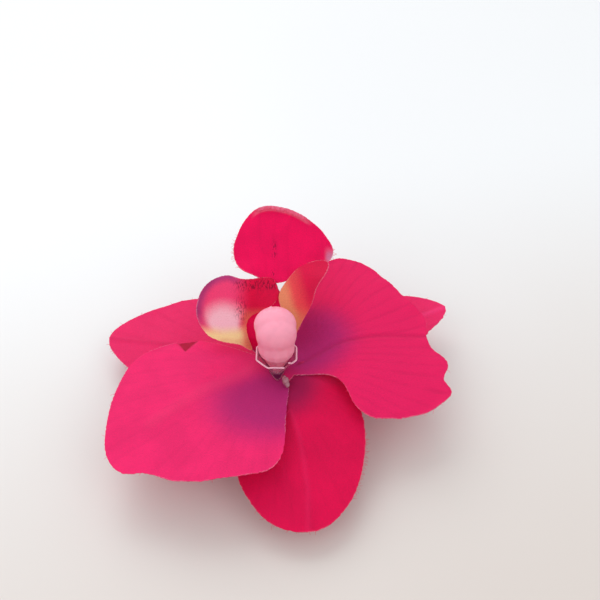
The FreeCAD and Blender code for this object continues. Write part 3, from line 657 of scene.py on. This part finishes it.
def fray(name, points, faces, material, seed, chance):
    """Short loose threads round a cut edge; chance is how likely one is at each rim point."""
    rng = np.random.default_rng(seed)
    loop = np.array(rim_loop(faces))
    spots = points[loop]
    tangent = np.roll(spots, -1, 0) - np.roll(spots, 1, 0)
    outward = np.column_stack((tangent[:, 1], -tangent[:, 0], np.zeros(len(loop))))
    outward /= np.linalg.norm(outward, axis=1)[:, None]
    rings, polygons, masks = [], [], []
    for k in np.flatnonzero(rng.random(len(loop)) < chance[loop]):
        reach = rng.uniform(0.3, 1.1)
        lean = rng.normal(0, 0.5) * tangent[k] / np.linalg.norm(tangent[k])
        travel = np.linspace(-0.2, 1, 5)[:, None]
        rise = (0, 0, rng.normal(0, 0.25))
        path = (spots[k] - (0, 0, CLOTH / 2) + outward[k] * reach * travel
                + lean * reach * travel ** 2 + rise * travel ** 2 * reach)
        hair, sides = tube(path, 0.045, 5, 0.5)
        start = sum(len(ring) for ring in rings)
        rings.append(hair)
        polygons += [tuple(start + v for v in side) for side in sides]
        masks += [points[loop[k]][:2]] * len(hair)
    obj = new_object(name, to_row(np.vstack(rings)), polygons, material)
    add_attribute(obj, "cut", np.column_stack((masks, np.zeros(len(masks)))))
    add_attribute(obj, "edge", np.ones(len(masks)))
    ride(obj)


# ------------------------------------------------------------------ lip

def lip_height(across, up):
    """Height over the blade's plane: flat at the hub, sunk at the throat, cupped side lobes."""
    flat = -up * math.tan(LIP_LEAN)
    sink = -4.5 - 0.08 * np.maximum(0.0, up - 24)
    share = smooth((up - 3.4) / 5.0)
    side = smooth((np.abs(across) - 3.0) / 8.0) * smooth((30 - up) / 6) * smooth((up - 2) / 5)
    rim = 0.035 * np.maximum(0.0, np.abs(across) - 13) ** 2
    return flat * (1 - share) + sink * share + side * (3.0 + rim)


def from_blade(across, up, height):
    """Lip frame to flower frame, in millimetres."""
    c, s = math.cos(LIP_LEAN), math.sin(LIP_LEAN)
    return np.column_stack((across, up * c - height * s, up * s + height * c + LIP_TOP))


def lip_piece(name, outlines, seed, shape, dyes_and_painted_light, material, rests_on, *nodes):
    """One sheet of the lip.  shape gives its across, up and height; the next argument gives its
    masks, print and painted shade alike.

    Returns its flat points, its points in flower millimetres, and its faces.
    """
    flat, faces = flat_patch(outlines, LIP_STEP, 0.06, seed)
    a, u = flat.T
    edge, way = nearest_rim(flat, flat[rim_loop(faces)])
    points = from_blade(*shape(a, u, edge, way))
    masks = {"cut": unmarked(flat), "edge": edge, "vein": np.zeros(len(flat))}
    masks.update(dyes_and_painted_light(a, u, edge))
    obj = cloth_object(name, points, faces, material, masks, LIP_CLOTH)
    ride(obj, *nodes, slot="lip_cloth")
    return flat, points, faces


def rolled_top(a, u):
    """Where the mid lobe's edge is rolled over, as a share from 0 to 1."""
    return smooth((u - 38) / 2) * smooth((a + 7.5) / 2.5) * smooth((10.0 - a) / 3)


def back_shape(a, u, edge, way):
    """Claw and mid lobe; the mid lobe's top edge rolls over towards the front."""
    z = (lip_height(a, u) + 0.18 * ripple(a, u, 9.0, 31)
         + 0.10 * ripple(a, u, 3.5, 32) * smooth((2 - edge) / 2))
    mid = smooth((u - 23.5) / 2.0)
    z += mid * (0.5 * np.cos(a / 5.0) - 0.6)
    length = 1.45 * rolled_top(a, u)
    rolled = np.maximum(0.0, length - edge)
    radius = 0.55
    slide = radius * np.sin(rolled / radius) - rolled
    return a + way[:, 0] * slide, u + way[:, 1] * slide, z + radius * (1 - np.cos(rolled / radius))


def back_dyes_and_hub_shade(a, u, edge):
    """Masks of the claw and mid lobe: pale roll, lilac corner, a dark purple foot painted as shade
    at the hub, and dark dashes.
    """
    roll = smooth((1.5 - edge) / 0.5) * rolled_top(a, u)
    streaks = (bump((a + 0.8) / 1.1) * bump((u - 32.2) / 4.0)
               + 0.9 * bump((a + 1.1) / 0.9) * bump((u - 25.6) / 1.6)
               + bump((u - 21.5) / 3.0) * smooth((a + 8) / 2))
    return {
        "vein": 0.3 * fan_veins(a, u, 7.0, 33) * (u > 25),
        "light": roll * 0.85,
        "lilac": smooth((a - 12.4) / 1.5) * bump((u - 30) / 3.5) * 0.8,
        # the claw's foot under the column is painted dark purple: painted shade at the hub
        "purple": 1 - smooth((u - 2.5) / 4.5),
        "speckle": np.clip(streaks, 0, 1),
    }


def left_shape(a, u, edge, way):
    """Left side lobe, a little above the claw."""
    lift = 0.55 + 0.7 * smooth((2.5 - np.abs(a + 7.5)) / 2.5) * smooth((15 - u) / 6)
    wave = 0.18 * ripple(a, u, 9.0, 31) + 0.16 * ripple(a, u, 4.0, 34) * smooth((2.5 - edge) / 2.5)
    return a, u, lip_height(a, u) + lift + wave


def left_dyes(a, u, edge):
    """Masks of the left side lobe: pink and purple outside, pale in the middle, yellow below."""
    inner = smooth((a + 10.2) / 2.2)
    streaks = (bump((u - 22.8 - 0.04 * a) / 2.6) * smooth((a + 13) / 4)
               + bump((a + 9.6) / 2.4) * bump((u - 16.0) / 4.8))
    return {
        "pink": smooth((-6.5 - a) / 6.0),
        "pale": blob(a, u, (-14.2, 11.4), (8.2, 8.4)) * smooth((edge - 0.6) / 2.2),
        "yellow": (1 - smooth((u - 8.6 - 0.08 * np.abs(a + 14)) / 3.4)),
        "orange": inner * (1 - smooth((u - 13.5) / 3.5)) * 0.8,
        "purple": smooth((2.4 - edge) / 2.2) * smooth((-8 - a) / 5) * smooth((u - 10.0) / 6) * 0.85,
        "speckle": np.clip(streaks, 0, 1),
    }


def right_shape(a, u, edge, way):
    """Right side lobe, which bends up away from the claw."""
    z = (lip_height(np.maximum(a, 3.0), u) + 0.9 + 0.025 * (a - 4) ** 2
         + 0.12 * ripple(a, u, 6.0, 41))
    return a, u, z


def right_dyes(a, u, edge):
    """Masks of the right side lobe: orange, then yellow, towards its inner edge."""
    side, _ = off_line(a, u, (5.5, 10.0), (1.5, 24.5))
    low = 1 - smooth((u - 12) / 6)
    yellow = smooth((2.2 + side) / 3.0) + 0.7 * low * smooth((4.6 + side) / 3)
    return {
        "orange": np.clip(smooth((6.2 + side) / 4.5) + 0.8 * low, 0, 1) * 0.9,
        "yellow": np.clip(yellow, 0, 1) * 0.9,
    }


def build_lip():
    """Claw and mid lobe in one sheet, and each side lobe in a sheet of its own."""
    shade, back_side = srgb(84, 8, 44), srgb(244, 104, 150)
    # the lip's dark purple at the claw's foot is painted shade at the hub
    back = cloth_material("lip_cloth", srgb(250, 6, 100), back_side,
                          [("light", srgb(246, 122, 156)), ("lilac", srgb(214, 150, 190)),
                           ("purple", srgb(120, 20, 78))], speckle=shade)
    flat, points, faces = lip_piece("lip_sheet", [LIP_CLAW, LIP_MID_LOBE], 6,
                                    back_shape, back_dyes_and_hub_shade, back, "petal_sheet", "lip")
    a, u = flat.T
    fray("lip_fray", points, faces, back, 63,
         bump((a + 12) / 4) * bump((u - 31) / 9) * 0.9 + bump((a - 14) / 3) * bump((u - 31) / 4))

    left = cloth_material("lip_left_cloth", srgb(240, 14, 80), back_side,
                          [("pink", srgb(250, 76, 134)), ("pale", srgb(255, 214, 226)),
                           ("yellow", srgb(255, 244, 176)), ("orange", srgb(244, 126, 104)),
                           ("purple", srgb(172, 62, 130))], speckle=shade)
    lip_piece("lip_left_lobe", [LIP_LEFT_LOBE], 8, left_shape, left_dyes, left, "lip_sheet")

    right = cloth_material("lip_right_cloth", srgb(232, 26, 84), back_side,
                           [("orange", srgb(244, 92, 96)), ("yellow", srgb(246, 170, 124))])
    lip_piece("lip_right_lobe", [LIP_RIGHT_LOBE], 7, right_shape, right_dyes, right, "lip_sheet")


# ------------------------------------------------------------------ column, collar and glue

def skin_over(name, parts, voxel, material, rounds=4):
    """One smooth skin over overlapping closed shapes, given as bmesh makers."""
    mesh = bpy.data.meshes.new(name)
    gather = bmesh.new()
    for make in parts:
        make(gather)
    gather.to_mesh(mesh)
    gather.free()
    obj = bpy.data.objects.new(name, mesh)
    bpy.context.scene.collection.objects.link(obj)
    remesh = obj.modifiers.new("skin", "REMESH")
    remesh.mode = "VOXEL"
    remesh.voxel_size = voxel
    soften = obj.modifiers.new("soften", "SMOOTH")
    soften.factor = 0.6
    soften.iterations = rounds
    done = bpy.data.meshes.new_from_object(obj.evaluated_get(bpy.context.evaluated_depsgraph_get()))
    obj.modifiers.clear()
    obj.data = done
    done.shade_smooth()
    done.materials.clear()
    done.materials.append(material)
    return obj


def ellipsoid(centre, radii):
    """Adds an ellipsoid, in flower millimetres."""
    def make(target):
        spot = Vector(to_row([centre])[0])
        turn = Matrix.Rotation(FLOWER_TURN, 4, "Z")
        scale = Matrix.Diagonal((radii[0] * MM, radii[1] * MM, radii[2] * MM, 1))
        bmesh.ops.create_uvsphere(target, u_segments=40, v_segments=24, radius=1.0,
                                  matrix=Matrix.Translation(spot) @ turn @ scale)
    return make


def cone(foot, top, foot_radius, top_radius, sides=32):
    """Adds a cone between two points, in flower millimetres."""
    def make(target):
        low, high = (Vector(v) for v in to_row([foot, top]))
        axis = high - low
        turn = axis.to_track_quat("Z", "Y").to_matrix().to_4x4()
        bmesh.ops.create_cone(target, cap_ends=True, segments=sides, radius1=foot_radius * MM,
                              radius2=top_radius * MM, depth=axis.length,
                              matrix=Matrix.Translation((low + high) / 2) @ turn)
    return make


def plastic_material(name, colour, roughness, clear=0.0, soft_glow=0.0, spotted=0.05):
    """Moulded or melted plastic with faint flow marks."""
    t = Tree(name)
    place = t.place()
    flow = t.noise(t.stretched(place, (500, 500, 260)), 1.0, 4.0)
    fine = t.noise(place, 4200.0, 2.0)
    shade = t.mix(t.remap(flow, 0.3, 0.7), colour, [v * (1 - spotted * 3) for v in colour])
    height = t.math("ADD", t.math("MULTIPLY", flow, 0.8), t.math("MULTIPLY", fine, 0.15))
    normal = t.bump(height, 0.25, 0.00025)
    surface = t.principled(Base_Color=shade, Normal=normal,
                           Roughness=t.remap(flow, 0.3, 0.7, roughness * 0.8, roughness * 1.25))
    surface.inputs["Transmission Weight"].default_value = clear
    surface.inputs["IOR"].default_value = 1.48
    surface.inputs["Subsurface Weight"].default_value = soft_glow
    surface.inputs["Subsurface Radius"].default_value = (0.004, 0.0022, 0.0026)
    surface.inputs["Subsurface Scale"].default_value = 0.6
    return t.finish(surface)


def build_column():
    """Moulded column: a peg, a flared and faceted body, and a capped round head."""
    material = plastic_material("column_plastic", srgb(244, 158, 180), 0.45,
                                soft_glow=0.5, spotted=0.02)

    def leaning(reach):
        """The point that far up the column's axis."""
        return (0.0, reach * math.sin(COLUMN_LEAN),
                COLUMN_FLOOR + 0.45 + reach * math.cos(COLUMN_LEAN))

    ball = leaning(BALL_REACH)
    parts = [
        cone((0, 0, COLUMN_FLOOR - 6.0), (0, 0, COLUMN_FLOOR + 0.8), 1.2, 1.2),
        cone(leaning(0.2), leaning(4.4), 1.7, 4.1, 10),
        cone(leaning(4.2), leaning(6.0), 4.2, 4.9, 10),
        cone(leaning(5.8), leaning(9.0), 4.9, 5.0, 10),
        ellipsoid(ball, (BALL_RADIUS, BALL_RADIUS, BALL_RADIUS)),
        ellipsoid((-0.3, ball[1] + 1.9, ball[2] + 1.3), (5.5, 4.7, 4.8)),
        ellipsoid((-1.3, ball[1] + 3.2, ball[2] + 5.2), (0.9, 1.0, 1.2)),
    ]
    obj = skin_over("column_head", parts, 0.00022, material, rounds=12)
    ride(obj, "column", slot="column_plastic")


def clear_material():
    """Thin clear plastic with a faint pink cast and scuffs."""
    t = Tree("collar_plastic")
    scuffs = t.noise(t.place(), 900.0, 4.0)
    surface = t.principled(Base_Color=t.mix(scuffs, srgb(238, 150, 180), srgb(214, 110, 150)),
                           Roughness=t.remap(scuffs, 0.3, 0.7, 0.10, 0.30),
                           Normal=t.bump(scuffs, 0.3, 0.0001))
    through = t.add("ShaderNodeBsdfTransparent")
    both = t.add("ShaderNodeMixShader")
    both.inputs[0].default_value = 0.72
    t.link(surface.outputs[0], both.inputs[1])
    t.link(through.outputs[0], both.inputs[2])
    return t.finish(both)


def build_collar():
    """Clear faceted collar with a thick pale rim that is split at the front right, and a dark ring
    inside the rim that is a painted shadow line.
    """
    sides, height, wall = 8, 5.2, 0.4
    foot, rim, shift = 1.9, 5.7, 0.9
    rows = []
    for radius, level in ((foot, 0.0), (rim, height), (rim - wall, height), (foot - wall, wall)):
        rows += [(radius * math.cos((k + 0.5) * math.tau / sides),
                  radius * math.sin((k + 0.5) * math.tau / sides) + shift * level / height, level)
                 for k in range(sides)]
    faces = []
    for level in range(4):
        for k in range(sides):
            after = (k + 1) % sides
            low, high = level * sides, (level + 1) % 4 * sides
            faces.append((low + k, low + after, high + after, high + k))
    points = to_row(np.array(rows) + (0, 0, COLLAR_FLOOR))
    obj = new_object("collar", points, faces, clear_material(), shade=False)
    bevel = obj.modifiers.new("edges", "BEVEL")
    bevel.width = 0.0001
    bevel.segments = 2
    ride(obj, "column_cup", slot="clear_collar")

    pale = plastic_material("collar_rim", srgb(240, 176, 196), 0.28, soft_glow=0.3)
    dark = plastic_material("collar_shadow_line", srgb(150, 62, 96), 0.35)
    # the inner ring is a dark tube standing for the shadow line inside the rim: painted shadow
    rings = (("collar_rim", pale, rim - 0.1, 0.24, 0.0),
             ("collar_shadow_ring", dark, rim - 0.6, 0.13, 0.35))
    for name, material, radius, thick, drop in rings:
        azimuths = np.linspace(math.radians(-52), math.radians(-68) + math.tau, 73)
        turned = (azimuths + math.pi / sides) % (math.tau / sides) - math.pi / sides
        across = radius * math.cos(math.pi / sides) / np.cos(turned)
        spike = 0.9 * bump((azimuths - azimuths[0]) / 0.22)
        level = COLLAR_FLOOR + height - drop + spike + 0.18 * np.sin(3 * azimuths)
        path = np.column_stack((across * np.cos(azimuths), across * np.sin(azimuths) + shift,
                                level))
        points, around = tube(path, thick, 8)
        ride(new_object(name, to_row(points), around, material))


def build_glue():
    """A set drip of glue at the column's foot; the glue in the clip shares its material."""
    material = plastic_material("hot_glue", srgb(206, 148, 164), 0.22, clear=0.55, spotted=0.03)
    parts = [ellipsoid((2.4, -4.9, 16.2), (0.9, 1.1, 1.1)),
             ellipsoid((2.9, -5.8, 15.7), (0.6, 0.9, 0.6)),
             ellipsoid((2.0, -4.2, 16.5), (0.6, 0.9, 0.7))]
    dab = skin_over("glue_drip", parts, 0.00016, material)
    ride(dab, "glue_dab", slot="hot_glue")
    for node in ("glue_pad", "clip_glue"):
        set_material(node, material)


# ------------------------------------------------------------------ clip and backing

def set_material(node, material):
    """Give a CAD node its material, on every slot."""
    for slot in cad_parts[node].material_slots:
        slot.material = material


def steel_material(name, colour, roughness, scratch):
    """Plated steel with rolling marks along the arm and a little tarnish."""
    t = Tree(name)
    place = t.place()
    lines = t.noise(t.stretched(place, (90, 2600, 2600)), 1.0, 3.0, 0.6)
    stain = t.noise(place, 260.0, 4.0)
    tint = t.mix(t.remap(stain, 0.48, 0.70), colour, [v * 0.62 for v in colour])
    rough = t.math("ADD", t.remap(stain, 0.35, 0.7, roughness, roughness + 0.18),
                   t.math("MULTIPLY", lines, scratch))
    surface = t.principled(Base_Color=tint, Metallic=1.0, Roughness=rough,
                           Normal=t.bump(lines, 0.3, 0.00004))
    return t.finish(surface)


def build_clip():
    """The CAD's own clip, pin and calyx with their materials, and a detailed spring."""
    plated = steel_material("clip_plate", (0.72, 0.72, 0.74), 0.20, 0.18)
    for node in ("clip_upper_arm", "clip_lower_arm", "hinge_pin"):
        set_material(node, plated)
    build_spring(steel_material("spring_wire", (0.52, 0.52, 0.54), 0.26, 0.10))
    green = plastic_material("calyx_plastic", srgb(150, 172, 104), 0.42, spotted=0.08)
    set_material("calyx_cup", green)


def build_spring(material):
    """Round wire coiled about the pin, with a leg along each arm."""
    radius, wire, pitch, turns, leg = 1.75, 0.4, 0.86, 2.5, 7.5
    kink_at, rise = 2.4, math.radians(24)
    middle = np.array(PIN_CENTRE)
    half = pitch * turns / 2
    climb = pitch / (math.tau * radius)
    path = []
    for k in range(6):
        travel = leg * (1 - k / 6)
        path.append(middle + (-travel, half + travel * climb, -radius))
    for k in range(int(turns * 20) + 1):
        angle = math.tau * k / 20
        path.append(middle + (radius * math.sin(angle), half - pitch * k / 20,
                              -radius * math.cos(angle)))
    for k in range(1, 9):
        travel = leg * k / 8
        bent = max(0.0, travel - kink_at)
        path.append(middle + (-min(travel, kink_at) - bent * math.cos(rise),
                              -half - travel * climb, radius + bent * math.sin(rise)))
    points, faces = tube(np.array(path), wire, 10)
    obj = new_object("spring_wire", points * MM, faces, material)
    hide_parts("torsion_spring")
    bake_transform(obj)


def tube(path, radius, sides, taper=1.0):
    """A capped tube round a path; the radius shrinks to taper times at its end."""
    tangents = np.gradient(path, axis=0)
    tangents /= np.linalg.norm(tangents, axis=1)[:, None]
    side = np.cross(tangents[0], (0.31, 0.17, 0.93))
    rings = []
    for k, (spot, heading) in enumerate(zip(path, tangents)):
        side = side - heading * side.dot(heading)
        side /= np.linalg.norm(side)
        other = np.cross(heading, side)
        size = radius * (1 + (taper - 1) * k / (len(path) - 1))
        for j in range(sides):
            angle = math.tau * j / sides
            rings.append(spot + size * (side * math.cos(angle) + other * math.sin(angle)))
    faces = []
    for k in range(len(path) - 1):
        for j in range(sides):
            after = (j + 1) % sides
            low, high = k * sides, (k + 1) * sides
            faces.append((low + j, low + after, high + after, high + j))
    last = (len(path) - 1) * sides
    faces.append(tuple(reversed(range(sides))))
    faces.append(tuple(range(last, last + sides)))
    return np.array(rings), faces


def felt_material():
    """Pressed felt: matted fibres in loose clumps."""
    t = Tree("felt")
    place = t.place()
    fibres = t.noise(place, 1500.0, 6.0, 0.75)
    clumps = t.noise(place, 260.0, 3.0)
    colour = t.mix(t.remap(fibres, 0.35, 0.65), srgb(206, 26, 88), srgb(150, 14, 60))
    height = t.math("ADD", fibres, t.math("MULTIPLY", clumps, 0.6))
    surface = t.principled(Base_Color=colour, Roughness=0.95, Normal=t.bump(height, 0.8, 0.0003),
                           Sheen_Weight=0.5, Sheen_Roughness=0.5, Sheen_Tint=(1.0, 0.6, 0.75, 1.0))
    return t.finish(surface)


def build_felt():
    """Pressed felt disc with a softly uneven edge and face."""
    flat, faces = flat_patch([circle(FELT_RADIUS, 24)], STEP, 0.10, 9)
    z = FELT_TOP + 0.02 * ripple(*flat.T, 3.0, 51)
    obj = cloth_object("felt_sheet", np.column_stack((flat, z)), faces, felt_material(), {},
                       FELT_THICKNESS)
    ride(obj, "felt_disc", slot="felt")


# ------------------------------------------------------------------ stage

def build_stage():
    """Pale floor, painted darker and warmer towards the front as shade, white surroundings and
    three square lights.
    """
    mesh = bpy.data.meshes.new("floor")
    half = 1.5
    corners = [(-half, -half, 0), (half, -half, 0), (half, half, 0), (-half, half, 0)]
    mesh.from_pydata(corners, [], [(0, 1, 2, 3)])
    floor = bpy.data.objects.new("floor", mesh)
    floor.location.z = -0.00002
    bpy.context.scene.collection.objects.link(floor)
    t = Tree("floor_gloss")
    split = t.add("ShaderNodeSeparateXYZ")
    t.feed(split.inputs[0], t.place())
    # the floor's colour runs from pale grey at the back to a darker warm tone at the front: painted
    # shade
    front = t.math("SUBTRACT", t.math("MULTIPLY", split.outputs["X"], -0.33), split.outputs["Y"])
    mottle = t.math("MULTIPLY", t.math("SUBTRACT", t.noise(t.place(), 14.0, 3.0), 0.5), 0.02)
    share = t.remap(t.math("ADD", front, mottle), -0.12, 0.10)
    colour = t.mix(share, (0.80, 0.81, 0.82), (0.64, 0.58, 0.54))
    surface = t.principled(Base_Color=colour, Roughness=0.34)
    surface.inputs["Specular IOR Level"].default_value = 0.35
    mesh.materials.append(t.finish(surface))

    world = bpy.data.worlds.new("studio")
    world.use_nodes = True
    background = world.node_tree.nodes["Background"]
    background.inputs["Color"].default_value = (0.97, 0.985, 1.0, 1.0)
    background.inputs["Strength"].default_value = 0.90
    bpy.context.scene.world = world
    softbox("window", (-300, 560, 720), 0.8, 3.0)
    softbox("front_left", (-380, -420, 520), 0.40, 0.5)
    softbox("front_right", (420, -380, 520), 0.40, 0.5)


def softbox(name, place, size, power):
    """A square area light in the flower frame, aimed at the flower."""
    light = bpy.data.lights.new(name, "AREA")
    light.energy = power
    light.size = size
    lamp = bpy.data.objects.new(name, light)
    lamp.location = to_row([place])[0]
    lamp.rotation_euler = Vector(-np.array(lamp.location)).to_track_quat("-Z", "Y").to_euler()
    bpy.context.scene.collection.objects.link(lamp)


def build_camera():
    """Camera in front of the flower, aimed beside and above its hub."""
    rise, level = math.sin(CAMERA_ELEVATION), math.cos(CAMERA_ELEVATION)
    right = np.array([1.0, 0.0, 0.0])
    up = np.array([0.0, rise, level])
    ahead = np.array([0.0, level, -rise])
    aim = np.array(CAMERA_TARGET) + CAMERA_PAN_RIGHT * right + CAMERA_PAN_UP * up
    data = bpy.data.cameras.new("camera")
    data.lens = CAMERA_LENS
    data.clip_start = 0.01
    camera = bpy.data.objects.new("camera", data)
    camera.location = to_row([aim - CAMERA_DISTANCE * ahead])[0]
    camera.rotation_euler = (math.radians(90) - CAMERA_ELEVATION, 0.0, FLOWER_TURN)
    bpy.context.scene.collection.objects.link(camera)
    bpy.context.scene.camera = camera


bpy.context.scene.view_settings.view_transform = "Standard"
build_camera()
build_stage()
build_clip()
build_felt()
build_sepals()
build_petals()
build_lip()
build_column()
build_collar()
build_glue()
